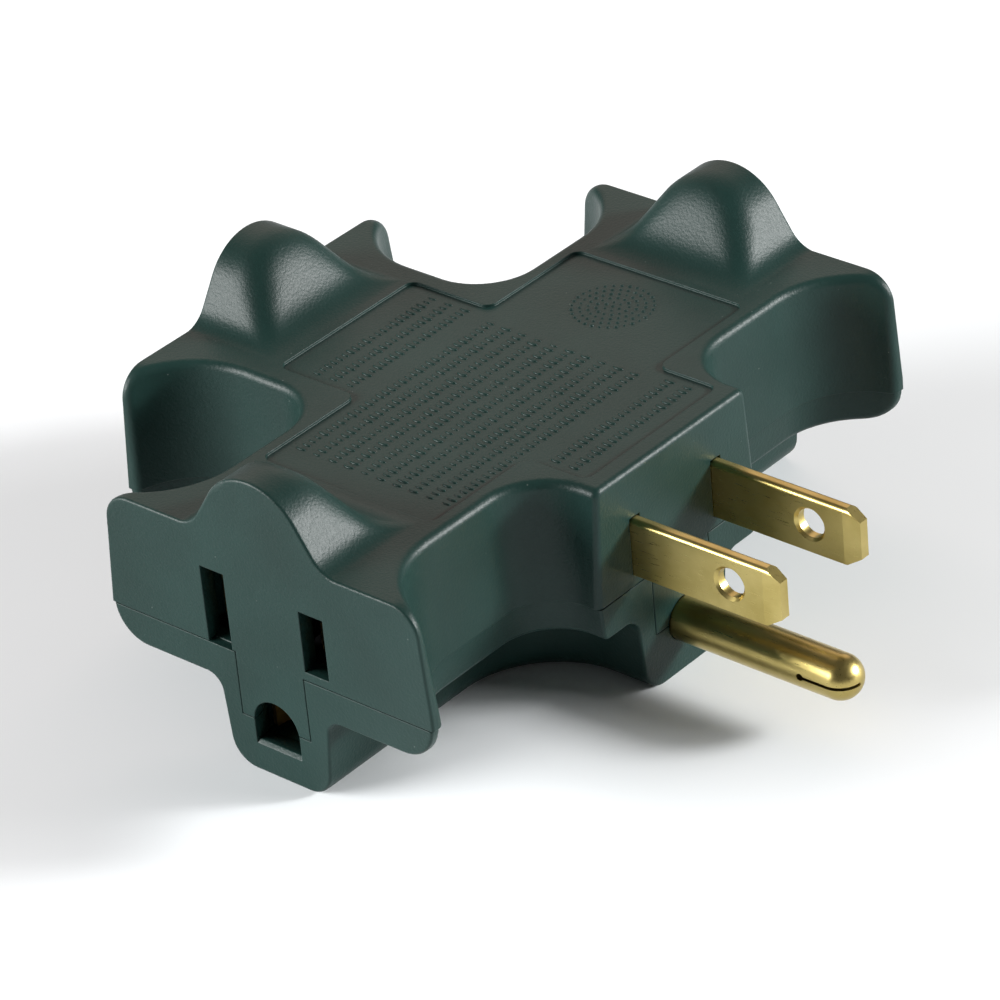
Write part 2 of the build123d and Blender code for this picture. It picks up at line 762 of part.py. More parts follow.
def blade(side_y, tab_z, rivet_places):
    """A flat blade at side_y: folded on top, coined tip, bevelled hole and a tab that starts at tab_z."""
    half = blade_width / 2
    tip_z = half - blade_tip_rise
    tip_x = blade_reach - blade_tip_run
    with BuildSketch() as outline:
        with BuildLine():
            Polyline(
                (-blade_tail, -half),
                (tip_x, -half),
                (blade_reach, -tip_z),
                (blade_reach, tip_z),
                (tip_x, half),
                (-blade_tail, half),
                (-blade_tail, -half),
            )
        make_face()
    upright = Plane((0, blade_thick / 2, 0), x_dir=(1, 0, 0), z_dir=(0, -1, 0))
    plate = extrude(upright * outline.sketch, blade_thick)
    fold = plate.edges().filter_by(Axis.X).sort_by(Axis.Z)[-2:]
    plate = fillet(fold, blade_fold_radius)
    groove = blade_groove_width / 2
    groove_top = -half + blade_groove_depth
    plate -= slab(-blade_tail - cut, blade_reach + cut, -groove, groove, -half - cut, groove_top)
    plate -= tip_wedge() + mirror(tip_wedge(), Plane.XZ)
    drill = Rot(90, 0, 0) * Cylinder(blade_hole_radius, blade_thick + 2 * cut)
    bevel = Cone(blade_hole_radius, blade_hole_radius + blade_hole_bevel, blade_hole_bevel)
    bevel = Pos(0, (blade_thick - blade_hole_bevel) / 2, 0) * Rot(-90, 0, 0) * bevel
    plate -= Pos(blade_hole_from_face, 0, 0) * (drill + bevel + mirror(bevel, Plane.XZ))
    neck_x = blade_neck - blade_tail
    neck_ends = (min(0, tab_z), max(0, tab_z + tab_thick))
    neck = slab(-blade_tail, neck_x, -blade_thick / 2, blade_thick / 2, *neck_ends)
    tab_ends = (tab_z, tab_z + tab_thick)
    tab = slab(neck_x - blade_tab_length, neck_x, -tab_half_width, tab_half_width, *tab_ends)
    tab = fillet(tab.edges().filter_by(Axis.Z), tab_corner_radius)
    piece = Pos(0, side_y, 0) * (plate + neck + tab)
    return piece - rivet_holes(rivet_places)


def tip_wedge():
    """What the coined tip loses on one side of the blade."""
    side = blade_thick / 2
    start = blade_reach - blade_coin_length
    with BuildSketch() as wedge:
        with BuildLine():
            slope = blade_coin_depth / blade_coin_length
            end = blade_reach + cut
            Polyline(
                (start, side),
                (end, side - (blade_coin_length + cut) * slope),
                (end, side + cut),
                (start, side + cut),
                (start, side),
            )
        make_face()
    return extrude(Pos(0, 0, -blade_width) * wedge.sketch, 2 * blade_width)


def ground_pin():
    """The hollow round pin: domed slit tip, a neck inside the shells and a tab on the ground strip."""
    dome_x = pin_reach - pin_radius
    with BuildSketch() as profile:
        with BuildLine():
            Polyline(
                (dome_x, pin_radius),
                (pin_neck_out, pin_radius),
                (pin_neck_out, pin_neck_radius),
                (-pin_tail, pin_neck_radius),
                (-pin_tail, pin_bore_radius),
                (dome_x, pin_bore_radius),
            )
            bore_45 = pin_bore_radius * sin(radians(45))
            bore_end = (dome_x + pin_bore_radius, 0)
            ThreePointArc((dome_x, pin_bore_radius), (dome_x + bore_45, bore_45), bore_end)
            Line(bore_end, (pin_reach, 0))
            skin_45 = pin_radius * sin(radians(45))
            ThreePointArc((pin_reach, 0), (dome_x + skin_45, skin_45), (dome_x, pin_radius))
        make_face()
    tube = revolve(profile.sketch, Axis.X)
    slit_x = pin_reach - pin_slit_length
    half = pin_slit_width / 2
    tube -= slab(slit_x, pin_reach + cut, -pin_radius - cut, 0, -half, half)
    eye = Rot(90, 0, 0) * Cylinder(pin_eye_radius, pin_radius + cut)
    tube -= Pos(slit_x, -(pin_radius + cut) / 2, 0) * eye
    tab_ends = (-pin_tail - pin_tab_length, pin_tab_lap - pin_tail)
    tab = slab(*tab_ends, -tab_half_width, tab_half_width, 0, tab_thick)
    tab -= Pos(0, 0, pin_radius) * Rot(0, 90, 0) * Cylinder(pin_bore_radius, far)
    piece = Pos(0, 0, -ground_drop) * tube + Pos(0, 0, pin_bottom_z) * tab
    return piece - rivet_holes(ground_rivet_places()[-1:])


def neutral_contact(turn, reach):
    """The neutral contact of an outlet arm, hung from its strip."""
    return on_arm(Pos(clip_back(reach), -half_pitch, 0) * pole_contact(neutral_strip_z), turn)


def hot_contact(turn, reach):
    """The hot contact of an outlet arm, standing on its strip."""
    upside_down = mirror(pole_contact(-hot_strip_z - strip_thick), Plane.XY)
    return on_arm(Pos(clip_back(reach), half_pitch, 0) * upside_down, turn)


def save(shape, name):
    """Write one node's solid."""
    export_step(shape, f"parts/{name}.step")


os.makedirs("parts", exist_ok=True)
save(upper_housing(), "upper_housing")
save(lower_housing(), "lower_housing")
save(divider_sheet(), "divider_sheet")
save(neutral_strip(), "neutral_strip")
save(hot_strip(), "hot_strip")
save(ground_strip(), "ground_strip")
save(blade(half_pitch, neutral_strip_z - tab_thick, neutral_rivet_places()[-1:]), "neutral_blade")
save(blade(-half_pitch, hot_strip_z + strip_thick, hot_rivet_places()[-1:]), "hot_blade")
save(ground_pin(), "ground_pin")
for name, turn, reach in outlet_arms:
    save(neutral_contact(turn, reach), f"{name}_neutral_contact")
    save(hot_contact(turn, reach), f"{name}_hot_contact")
    save(on_arm(Pos(ground_back(reach), 0, 0) * ground_contact(), turn), f"{name}_ground_contact")
save(rivets(neutral_rivet_places(), neutral_strip_z - tab_thick, ceiling_z), "neutral_rivets")
save(rivets(hot_rivet_places(), hot_strip_z, hot_strip_z + strip_thick + tab_thick), "hot_rivets")
save(rivets(ground_rivet_places(), trench_z, pin_bottom_z + tab_thick), "ground_rivets")
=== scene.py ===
# %% [markdown]
# A moulded three-outlet plug adapter.
# This file dresses a finished solid model for a studio picture.
# The real adapter is two shells of dark green soft vinyl, closed round brass parts.
# The solids already have the true shape, so the work here is skin, metal, light and camera.
# Everything is in metres, but a name that ends in MM holds millimetres. +X is the way the blades point.

# %% Load the solids and keep their box
import bpy
import bmesh
import math
from mathutils import Matrix, Vector
from mathutils.bvhtree import BVHTree


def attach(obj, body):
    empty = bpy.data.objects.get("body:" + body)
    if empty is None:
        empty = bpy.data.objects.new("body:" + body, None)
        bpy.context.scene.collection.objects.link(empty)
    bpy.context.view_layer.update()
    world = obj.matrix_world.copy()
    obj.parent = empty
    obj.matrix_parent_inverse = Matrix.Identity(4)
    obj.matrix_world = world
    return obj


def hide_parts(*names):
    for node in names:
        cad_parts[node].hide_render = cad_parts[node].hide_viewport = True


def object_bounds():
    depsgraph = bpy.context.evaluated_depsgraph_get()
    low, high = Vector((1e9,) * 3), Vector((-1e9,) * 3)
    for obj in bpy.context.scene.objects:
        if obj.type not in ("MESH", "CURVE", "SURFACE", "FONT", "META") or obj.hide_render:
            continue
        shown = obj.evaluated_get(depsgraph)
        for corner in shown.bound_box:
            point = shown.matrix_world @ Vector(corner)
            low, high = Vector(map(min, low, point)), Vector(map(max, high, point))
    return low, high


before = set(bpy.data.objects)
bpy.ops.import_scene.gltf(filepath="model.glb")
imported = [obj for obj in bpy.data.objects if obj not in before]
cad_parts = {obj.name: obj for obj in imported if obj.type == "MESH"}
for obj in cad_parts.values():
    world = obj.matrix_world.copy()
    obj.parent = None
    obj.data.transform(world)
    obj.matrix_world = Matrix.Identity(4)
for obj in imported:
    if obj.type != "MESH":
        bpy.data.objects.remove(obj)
cad_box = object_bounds()
MM = 0.001
print("solids loaded:", len(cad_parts))

# %% [markdown]
# Small tools.
# Screens store colour with a curve, and the renderer wants it straight, so one function turns
# a hex colour into the renderer's numbers. A second one adds a node, sets it up and links it,
# so that each material below reads as a short list. A third puts a new object in the scene.


# %% Colour, node and object helpers
def linear(hex_colour):
    """An sRGB hex colour as the four linear numbers that a shader takes."""
    parts = [int(hex_colour[i:i + 2], 16) / 255 for i in (1, 3, 5)]
    return [c / 12.92 if c <= 0.04045 else ((c + 0.055) / 1.055) ** 2.4 for c in parts] + [1.0]


def add(tree, kind, inputs=None, stops=(), **settings):
    """Add a node with its settings and colour stops, and fill or link its inputs by name or number."""
    node = tree.nodes.new(kind)
    for key, value in settings.items():
        setattr(node, key, value)
    for key, value in (inputs or {}).items():
        if isinstance(value, bpy.types.NodeSocket):
            tree.links.new(value, node.inputs[key])
        else:
            node.inputs[key].default_value = value
    for number, (place, colour) in enumerate(stops):
        node.color_ramp.elements[number].position = place
        node.color_ramp.elements[number].color = colour
    return node


def new_material(name):
    """A node material with no nodes in it yet, and the tree to build in."""
    material = bpy.data.materials.new(name)
    material.use_nodes = True
    material.node_tree.nodes.clear()
    return material, material.node_tree


def in_scene(name, data):
    """A new object in the scene with the given mesh, light or camera."""
    thing = bpy.data.objects.new(name, data)
    bpy.context.scene.collection.objects.link(thing)
    return thing


print("helpers ready")

# %% [markdown]
# Camera.
# The picture was taken from the plug's front corner, about 32 degrees above the table, with a long lens
# that keeps the arms nearly parallel. The frame is square, and the camera leans a little to one side.
# A direction turned into a rotation is easy to read, and the lean is one more turn about the lens.

# %% Place the camera
CAMERA_PLACE = Vector((275.7, -321.6, 264.6)) * MM
CAMERA_AIM = Vector((-20.65, -2.91, -3.74)) * MM
CAMERA_LEAN = math.radians(-5.44)
LENS_MM, SENSOR_MM = 183.65, 36.0
NEAREST, FARTHEST = 0.02, 20.0

camera = in_scene("camera", bpy.data.cameras.new("camera"))
camera.data.lens = LENS_MM
camera.data.sensor_width = SENSOR_MM
camera.data.clip_start = NEAREST
camera.data.clip_end = FARTHEST
camera.location = CAMERA_PLACE
look = (CAMERA_AIM - CAMERA_PLACE).to_track_quat("-Z", "Y").to_matrix().to_4x4()
camera.rotation_euler = (look @ Matrix.Rotation(CAMERA_LEAN, 4, "Z")).to_euler()
bpy.context.scene.camera = camera
print("camera distance, m:", round((CAMERA_AIM - CAMERA_PLACE).length, 3))

# %% [markdown]
# Table and light.
# The studio is a pale table with soft boxes low on each side, and a large warm card behind the part.
# Low boxes at the sides leave the inner bays dark and draw a highlight on each hump, while the flat
# top mirrors the card and looks greyer and warmer than the sides. The right box has a bright core in
# a wide dim halo, as a lamp behind cloth has, so that its highlight fades out at the edges.
# A weak pale surround keeps shadows open. The table is board with a coat of matt paint, which is
# never quite even: wide faint clouds of two whites break up its flatness.

# %% Pale table
TABLE_HALF = 6.0
BOARD_CLOUD_MM = 111.0


def flat_sheet(name, half, z):
    """A square sheet lying flat at height z."""
    mesh = bpy.data.meshes.new(name)
    corners = [(-half, -half, z), (half, -half, z), (half, half, z), (-half, half, z)]
    mesh.from_pydata(corners, [], [(0, 1, 2, 3)])
    return in_scene(name, mesh)


table_top = cad_box[0].z
table = flat_sheet("table", TABLE_HALF, table_top)
board, tree = new_material("painted_board_matt")
place = add(tree, "ShaderNodeTexCoord").outputs["Object"]
clouds = add(tree, "ShaderNodeTexNoise", {
    "Vector": place,
    "Scale": 1 / (BOARD_CLOUD_MM * MM),
    "Detail": 3.0,
})
tone = add(tree, "ShaderNodeValToRGB", {"Fac": clouds.outputs["Fac"]},
           stops=[(0.35, linear("#EDF1F3")), (0.65, linear("#F3F6F8"))])
paint = add(tree, "ShaderNodeBsdfPrincipled", {
    "Base Color": tone.outputs["Color"],
    "Roughness": 0.9,
    "Specular IOR Level": 0.1,
})
add(tree, "ShaderNodeOutputMaterial", {"Surface": paint.outputs["BSDF"]})
table.data.materials.append(board)
print("table at z, mm:", round(table_top / MM, 2))

# %% Soft boxes and surround
# name: direction from the part, distance m, width m, height m, power W, colour
SOFT_BOXES = {
    "left_box": ((-0.60, -0.72, 0.30), 1.1, 0.80, 0.42, 22.0, "#FFFFFF"),
    "right_core": ((0.72, 0.60, 0.34), 1.1, 0.24, 0.16, 12.0, "#FFFFFF"),
    "right_halo": ((0.72, 0.60, 0.34), 1.15, 0.70, 0.40, 11.0, "#FFFFFF"),
    "back_card": ((-0.58, 0.62, 0.56), 1.3, 1.60, 1.10, 4.8, "#FFE4DA"),
}
SURROUND_COLOUR, SURROUND_STRENGTH = "#F2F1EF", 0.12


def soft_box(name, direction, distance, width, height, power, colour):
    """An oval area light that faces the part."""
    lamp = bpy.data.lights.new(name, "AREA")
    lamp.shape = "ELLIPSE"
    lamp.size = width
    lamp.size_y = height
    lamp.energy = power
    lamp.color = linear(colour)[:3]
    box = in_scene(name, lamp)
    way = Vector(direction).normalized()
    box.location = (cad_box[0] + cad_box[1]) / 2 + way * distance
    box.rotation_euler = (-way).to_track_quat("-Z", "Y").to_euler()


for name, facts in SOFT_BOXES.items():
    soft_box(name, *facts)

world = bpy.data.worlds.new("surround")
world.use_nodes = True
world.node_tree.nodes.clear()
pale = add(world.node_tree, "ShaderNodeBackground", {
    "Color": linear(SURROUND_COLOUR),
    "Strength": SURROUND_STRENGTH,
})
add(world.node_tree, "ShaderNodeOutputWorld", {"Surface": pale.outputs["Background"]})
bpy.context.scene.world = world
bpy.context.scene.view_settings.view_transform = "Standard"
print("soft boxes:", len(SOFT_BOXES))

# %% [markdown]
# Moulded vinyl.
# The shells are injection moulded in soft PVC, which flows into a mould with a finely etched wall.
# The etch leaves a satin skin: a broad soft highlight that breaks up into a fine grain close to.
# The grain is two noises, one near 0.3 mm for the etch and one near 1.5 mm for the slow waviness of
# a soft plastic. A real etch is finer than that, and is drawn this coarse so that it shows. Every
# real edge is a little round and catches a thin line of light, which a bevel node gives to the sharp
# edges of a solid. The humps were blended by hand in the mould, so the same node works wider on them:
# its radius grows with the height above the flat top, and shrinks again near the crisp rim of an
# outlet. The dark green pigment is not perfectly even, and a little dust settles on it.


# %% Where the blends are soft
CROSS_X_MM, FLAT_TOP_MM = -20.9, 8.65
SIDE_FACE_MM, END_FACE_MM = cad_box[1].y / MM, cad_box[0].x / MM
EDGE_MM, BLEND_MM = 0.18, 4.5
# the radius starts to grow this far from the flat top or from an outlet's face
GROWTH_START_MM = 0.2
FULL_ABOVE_TOP_MM, FULL_FROM_FACE_MM = 4.0, 5.2


def blend_radius(tree, place):
    """A bevel radius that is small at edges and wide on the humps, in metres."""
    axes = add(tree, "ShaderNodeSeparateXYZ", {"Vector": place}).outputs
    side = add(tree, "ShaderNodeMath", {0: axes["Y"]}, operation="ABSOLUTE").outputs[0]
    radii = []
    for value, start, full in (
            (axes["Z"], FLAT_TOP_MM + GROWTH_START_MM, FLAT_TOP_MM + FULL_ABOVE_TOP_MM),
            (side, SIDE_FACE_MM - GROWTH_START_MM, SIDE_FACE_MM - FULL_FROM_FACE_MM),
            (axes["X"], END_FACE_MM + GROWTH_START_MM, END_FACE_MM + FULL_FROM_FACE_MM)):
        grown_radius = add(tree, "ShaderNodeMapRange", {
            "Value": value,
            "From Min": start * MM,
            "From Max": full * MM,
            "To Min": EDGE_MM * MM,
            "To Max": BLEND_MM * MM,
        })
        radii.append(grown_radius.outputs["Result"])
    above_top, from_side, from_end = radii
    lesser = add(tree, "ShaderNodeMath", {0: above_top, 1: from_side}, operation="MINIMUM").outputs[0]
    return add(tree, "ShaderNodeMath", {0: lesser, 1: from_end}, operation="MINIMUM").outputs[0]


print("bevel from", EDGE_MM, "to", BLEND_MM, "mm")


# %% Vinyl material
ETCH_MM, ETCH_HEIGHT_MM = 0.3, 0.06
WAVE_MM, WAVE_HEIGHT_MM = 1.5, 0.02
PIGMENT_CLOUD_MM = 12.0
DUST_PITCH_MM, DUST_SHARE = 2.6, 0.25
WHITE, BLACK = linear("#FFFFFF"), linear("#000000")
VINYL_ROUGHNESS, VINYL_SMOOTHER, VINYL_ROUGHER = 0.41, 0.05, 0.07


def moulded_vinyl(name):
    """Dark green satin PVC with an etched grain and a little dust."""
    material, tree = new_material(name)
    place = add(tree, "ShaderNodeTexCoord").outputs["Object"]
    grain = add(tree, "ShaderNodeTexNoise", {
        "Vector": place,
        "Scale": 1 / (ETCH_MM * MM),
        "Detail": 3.0,
        "Roughness": 0.55,
    })
    waves = add(tree, "ShaderNodeTexNoise", {"Vector": place, "Scale": 1 / (WAVE_MM * MM), "Detail": 2.0})
    cloud = add(tree, "ShaderNodeTexNoise", {
        "Vector": place,
        "Scale": 1 / (PIGMENT_CLOUD_MM * MM),
        "Detail": 4.0,
    })
    pigment = add(tree, "ShaderNodeValToRGB", {"Fac": cloud.outputs["Fac"]},
                  stops=[(0.3, linear("#152C28")), (0.7, linear("#1A332F"))])
    dust = add(tree, "ShaderNodeTexVoronoi", {"Vector": place, "Scale": 1 / (DUST_PITCH_MM * MM)},
               feature="F1")
    speck = add(tree, "ShaderNodeValToRGB", {"Fac": dust.outputs["Distance"]},
                stops=[(0.02, WHITE), (0.035, BLACK)])
    dusting = add(tree, "ShaderNodeMath", {0: speck.outputs["Color"], 1: DUST_SHARE}, operation="MULTIPLY")
    colour = add(tree, "ShaderNodeMix", {
        "Factor": dusting.outputs[0],
        "A": pigment.outputs["Color"],
        "B": linear("#9AA39D"),
    }, data_type="RGBA")
    gloss = add(tree, "ShaderNodeMapRange", {
        "Value": grain.outputs["Fac"],
        "To Min": VINYL_ROUGHNESS - VINYL_SMOOTHER,
        "To Max": VINYL_ROUGHNESS + VINYL_ROUGHER,
    })
    eased = add(tree, "ShaderNodeBevel", {"Radius": blend_radius(tree, place)}, samples=8)
    wavy = add(tree, "ShaderNodeBump", {
        "Height": waves.outputs["Fac"],
        "Distance": WAVE_HEIGHT_MM * MM,
        "Strength": 0.5,
        "Normal": eased.outputs["Normal"],
    })
    etched = add(tree, "ShaderNodeBump", {
        "Height": grain.outputs["Fac"],
        "Distance": ETCH_HEIGHT_MM * MM,
        "Strength": 0.65,
        "Normal": wavy.outputs["Normal"],
    })
    skin = add(tree, "ShaderNodeBsdfPrincipled", {
        "Base Color": colour.outputs["Result"],
        "Roughness": gloss.outputs["Result"],
        "IOR": 1.53,
        "Specular IOR Level": 0.22,
        "Normal": etched.outputs["Normal"],
    })
    add(tree, "ShaderNodeOutputMaterial", {"Surface": skin.outputs["BSDF"]})
    return material


vinyl = moulded_vinyl("dark_green_pvc_moulded")
print("vinyl nodes:", len(vinyl.node_tree.nodes))

# %% [markdown]
# Brass.
# The blades are blanked from brass strip and folded double, and the ground pin is rolled from the same
# strip. Rolling and tumbling leave fine streaks along the length and a warm, slightly greenish gloss.
# Streaks are a noise squeezed across the length, so they run the way that the metal was drawn.
# Real ones are finer than the 0.12 mm here, which is as fine as the picture can show.
# The parts inside are duller, because nothing rubs them bright.


# %% Brass material
STREAK_MM, STREAK_HEIGHT_MM = 0.12, 0.004
STAIN_MM = 5.0
BRASS_SMOOTHER, BRASS_ROUGHER = 0.04, 0.08


def drawn_brass(name, stretch, bright, dull, roughness):
    """Rolled brass with streaks along the axis whose scale in stretch is smallest."""
    material, tree = new_material(name)
    place = add(tree, "ShaderNodeTexCoord").outputs["Object"]
    drawn = add(tree, "ShaderNodeMapping", {"Vector": place, "Scale": stretch})
    streaks = add(tree, "ShaderNodeTexNoise", {
        "Vector": drawn.outputs["Vector"],
        "Scale": 1 / (STREAK_MM * MM),
        "Detail": 3.0,
        "Roughness": 0.6,
    })
    stain = add(tree, "ShaderNodeTexNoise", {"Vector": place, "Scale": 1 / (STAIN_MM * MM), "Detail": 4.0})
    colour = add(tree, "ShaderNodeValToRGB", {"Fac": stain.outputs["Fac"]},
                 stops=[(0.35, linear(dull)), (0.62, linear(bright))])
    gloss = add(tree, "ShaderNodeMapRange", {
        "Value": streaks.outputs["Fac"],
        "From Min": 0.3,
        "From Max": 0.7,
        "To Min": roughness - BRASS_SMOOTHER,
        "To Max": roughness + BRASS_ROUGHER,
    })
    scratch = add(tree, "ShaderNodeBump", {
        "Height": streaks.outputs["Fac"],
        "Distance": STREAK_HEIGHT_MM * MM,
        "Strength": 0.4,
    })
    metal = add(tree, "ShaderNodeBsdfPrincipled", {
        "Base Color": colour.outputs["Color"],
        "Metallic": 1.0,
        "Roughness": gloss.outputs["Result"],
        "Normal": scratch.outputs["Normal"],
    })
    add(tree, "ShaderNodeOutputMaterial", {"Surface": metal.outputs["BSDF"]})
    return material


prong_brass = drawn_brass("brass_strip_folded", (0.06, 1.0, 1.0), "#C2B070", "#AE9C5C", 0.30)
spring_brass = drawn_brass("brass_strip_spring", (1.0, 1.0, 0.1), "#B79C62", "#8F7747", 0.38)
print("brass materials:", prong_brass.name, spring_brass.name)

# %% [markdown]
# Fibre sheet.
# The sheet between the hot strip and the ground parts is vulcanised fibre, grey-black and quite matt,
# with short pressed fibres that show as a soft mottling.

# %% Fibre material
FELT_MM, FELT_HEIGHT_MM = 0.4, 0.02

fibre, tree = new_material("vulcanised_fibre_pressed")
place = add(tree, "ShaderNodeTexCoord").outputs["Object"]
felt = add(tree, "ShaderNodeTexNoise", {"Vector": place, "Scale": 1 / (FELT_MM * MM), "Detail": 4.0})
shade = add(tree, "ShaderNodeValToRGB", {"Fac": felt.outputs["Fac"]},
            stops=[(0.35, linear("#26262A")), (0.7, linear("#3A3A3C"))])
rough = add(tree, "ShaderNodeBump", {
    "Height": felt.outputs["Fac"],
    "Distance": FELT_HEIGHT_MM * MM,
    "Strength": 0.6,
})
sheet_skin = add(tree, "ShaderNodeBsdfPrincipled", {
    "Base Color": shade.outputs["Color"],
    "Roughness": 0.75,
    "Normal": rough.outputs["Normal"],
})
add(tree, "ShaderNodeOutputMaterial", {"Surface": sheet_skin.outputs["BSDF"]})
print("fibre ready")

# %% [markdown]
# Smooth skins for the solids.
# A solid arrives as loose triangles, each CAD face with its own edge, so a highlight would break at
# every face. A copy with its doubles merged is one skin: edges sharper than the fillets stay sharp, and
# a weighted normal keeps the big flat faces flat right up to their rounds.
# An outlet's openings need one more touch. A thin lip stands at the face, and the wall opens out
# behind it, so that a prong finds its contact without rubbing. Each opening's wall is cut across a
# little behind the face, and its inner edge is moved outwards, which leaves darkness behind the lip.
# The slope on the sill of the ground hole is drawn in towards its corner, to a thin line of light.


# %% Sizes of the outlet openings
LIP_MM, FACE_WALL_MM = 0.9, 2.6
# turn of each arm in degrees, and its reach in mm
OUTLETS = ((-90, SIDE_FACE_MM), (90, SIDE_FACE_MM), (180, CROSS_X_MM - END_FACE_MM))
HOLE_HALF_MM, SILL_Z_MM = 2.95, -14.2
SILL_SLOPE_MM, SILL_LINE_MM = 0.8, 0.35
# opening: low corner, high corner, shift of the low side, shift of the high side; across and up, mm
OPENINGS = {
    "neutral_slot": ((-7.9, -4.4), (-4.8, 4.25), (-0.9, 0.0), (0.25, 0.5)),
    "hot_slot": ((4.8, -3.45), (7.9, 3.45), (-0.9, -0.5), (0.9, 0.5)),
    "ground_hole": ((-HOLE_HALF_MM, SILL_Z_MM), (HOLE_HALF_MM, -8.95), (-0.85, -0.7), (0.85, 0.7)),
}
# points this near to a wall or to the cut count as on it
SLACK_MM, CUT_SLACK = 0.01, 1e-7
print("openings:", len(OUTLETS) * len(OPENINGS))


# %% Thin sill of a ground hole
def thin_sill(shell, to_arm, to_world, reach):
    """Draw the sloped sill of one ground hole in towards its corner."""
    share = SILL_LINE_MM / SILL_SLOPE_MM
    drawn = 0
    for vert in shell.verts:
        along, across, up = (to_arm @ vert.co) / MM
        behind, below = reach - along, SILL_Z_MM - up
        if (abs(across) < HOLE_HALF_MM + SLACK_MM
                and -SLACK_MM < behind < SILL_SLOPE_MM + SLACK_MM
                and -SLACK_MM < below < SILL_SLOPE_MM + SLACK_MM):
            vert.co = to_world @ (Vector((reach - behind * share, across, SILL_Z_MM - below * share)) * MM)
            drawn += 1
    return drawn


print("sill line mm:", SILL_LINE_MM)


# %% Thin lips round the outlet openings
def in_opening(place, reach, low, high):
    """True for a place on the wall of an opening, in millimetres along, across and up its arm."""
    along, across, up = place
    return (reach - FACE_WALL_MM - SLACK_MM < along < reach + SLACK_MM
            and low[0] - SLACK_MM < across < high[0] + SLACK_MM
            and low[1] - SLACK_MM < up < high[1] + SLACK_MM)


def open_behind_lip(shell, to_arm, to_world, reach, opening):
    """Cut across the wall of one opening behind its lip, and move the wall's inner edge outwards."""
    low, high, low_shift, high_shift = opening
    walls = [face for face in shell.faces
             if all(in_opening((to_arm @ vert.co) / MM, reach, low, high) for vert in face.verts)]
    edges = dict.fromkeys(edge for face in walls for edge in face.edges)
    verts = dict.fromkeys(vert for face in walls for vert in face.verts)
    bmesh.ops.bisect_plane(shell, geom=walls + list(edges) + list(verts), dist=CUT_SLACK,
                           plane_co=to_world @ Vector(((reach - LIP_MM) * MM, 0, 0)),
                           plane_no=to_world.to_3x3() @ Vector((1, 0, 0)))
    moved = 0
    for vert in verts:
        along, across, up = (to_arm @ vert.co) / MM
        if abs(along - (reach - FACE_WALL_MM)) > SLACK_MM:
            continue
        share = ((across - low[0]) / (high[0] - low[0]), (up - low[1]) / (high[1] - low[1]))
        shift = [low_shift[i] + share[i] * (high_shift[i] - low_shift[i]) for i in (0, 1)]
        vert.co = to_world @ (Vector((along, across + shift[0], up + shift[1])) * MM)
        moved += 1
    return moved


def thin_lips(shell):
    """Thin the sill and the lips of every outlet's openings."""
    for turn, reach in OUTLETS:
        to_world = Matrix.Translation((CROSS_X_MM * MM, 0, 0)) @ Matrix.Rotation(math.radians(turn), 4, "Z")
        to_arm = to_world.inverted()
        drawn = thin_sill(shell, to_arm, to_world, reach)
        moved = sum(open_behind_lip(shell, to_arm, to_world, reach, opening)
                    for opening in OPENINGS.values())
        print("outlet at turn", turn, "sill points:", drawn, "inner edge points:", moved)


print("wall cut, mm behind each face:", LIP_MM)

# %% Weld a solid into one skin
MERGE_DISTANCE = 1e-6
SHARP_ANGLE = math.radians(30.0)
COIN_LINE_MM = 16.1


def merged_copy(node):
    """A node's loose triangles as one mesh in edit, with its doubles merged."""
    shell = bmesh.new()
    shell.from_mesh(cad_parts[node].data)
    bmesh.ops.remove_doubles(shell, verts=shell.verts, dist=MERGE_DISTANCE)
    return shell


def on_coin_line(edge):
    """True for the fine line across a blade where its coined tip begins."""
    return all(abs(vert.co.x - COIN_LINE_MM * MM) < SLACK_MM * MM for vert in edge.verts)


def welded(node, material, reshape=None):
    """A merged, smoothly shaded copy of a solid, which stands for it."""
    name = node + "_skin"
    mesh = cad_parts[node].data.copy()
    mesh.name = name
    shell = merged_copy(node)
    if reshape:
        reshape(shell)
    for edge in shell.edges:
        edge.smooth = edge.is_manifold and edge.calc_face_angle(0.0) < SHARP_ANGLE
        if node.endswith("_blade") and on_coin_line(edge):
            edge.smooth = False
    for face in shell.faces:
        face.smooth = True
    shell.to_mesh(mesh)
    shell.free()
    if "custom_normal" in mesh.attributes:
        mesh.attributes.remove(mesh.attributes["custom_normal"])
    mesh.materials.clear()
    mesh.materials.append(material)
    piece = in_scene(name, mesh)
    piece.modifiers.new("even_flats", "WEIGHTED_NORMAL").keep_sharp = True
    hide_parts(node)
    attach(piece, "root")
    return piece


skins = {}
for node in ("upper_housing", "lower_housing"):
    skins[node] = welded(node, vinyl, thin_lips)
for node in ("neutral_blade", "hot_blade", "ground_pin"):
    skins[node] = welded(node, prong_brass)
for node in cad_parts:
    if node.endswith(("_strip", "_contact")):
        skins[node] = welded(node, spring_brass)
skins["divider_sheet"] = welded("divider_sheet", fibre)
print("skins:", len(skins), "triangles:", sum(len(skin.data.polygons) for skin in skins.values()))

# %% [markdown]
# Rivets.
# Twelve small brass rivets hold the strips, contacts and prongs together inside the shells.
# A rivet is a shank with a domed head at each end, and the same one repeats at every place, which is
# what Geometry Nodes do well: one rivet is made in the tree and put on each point of a small cloud.
# The points come from the solids themselves, one for each separate rivet in a node.


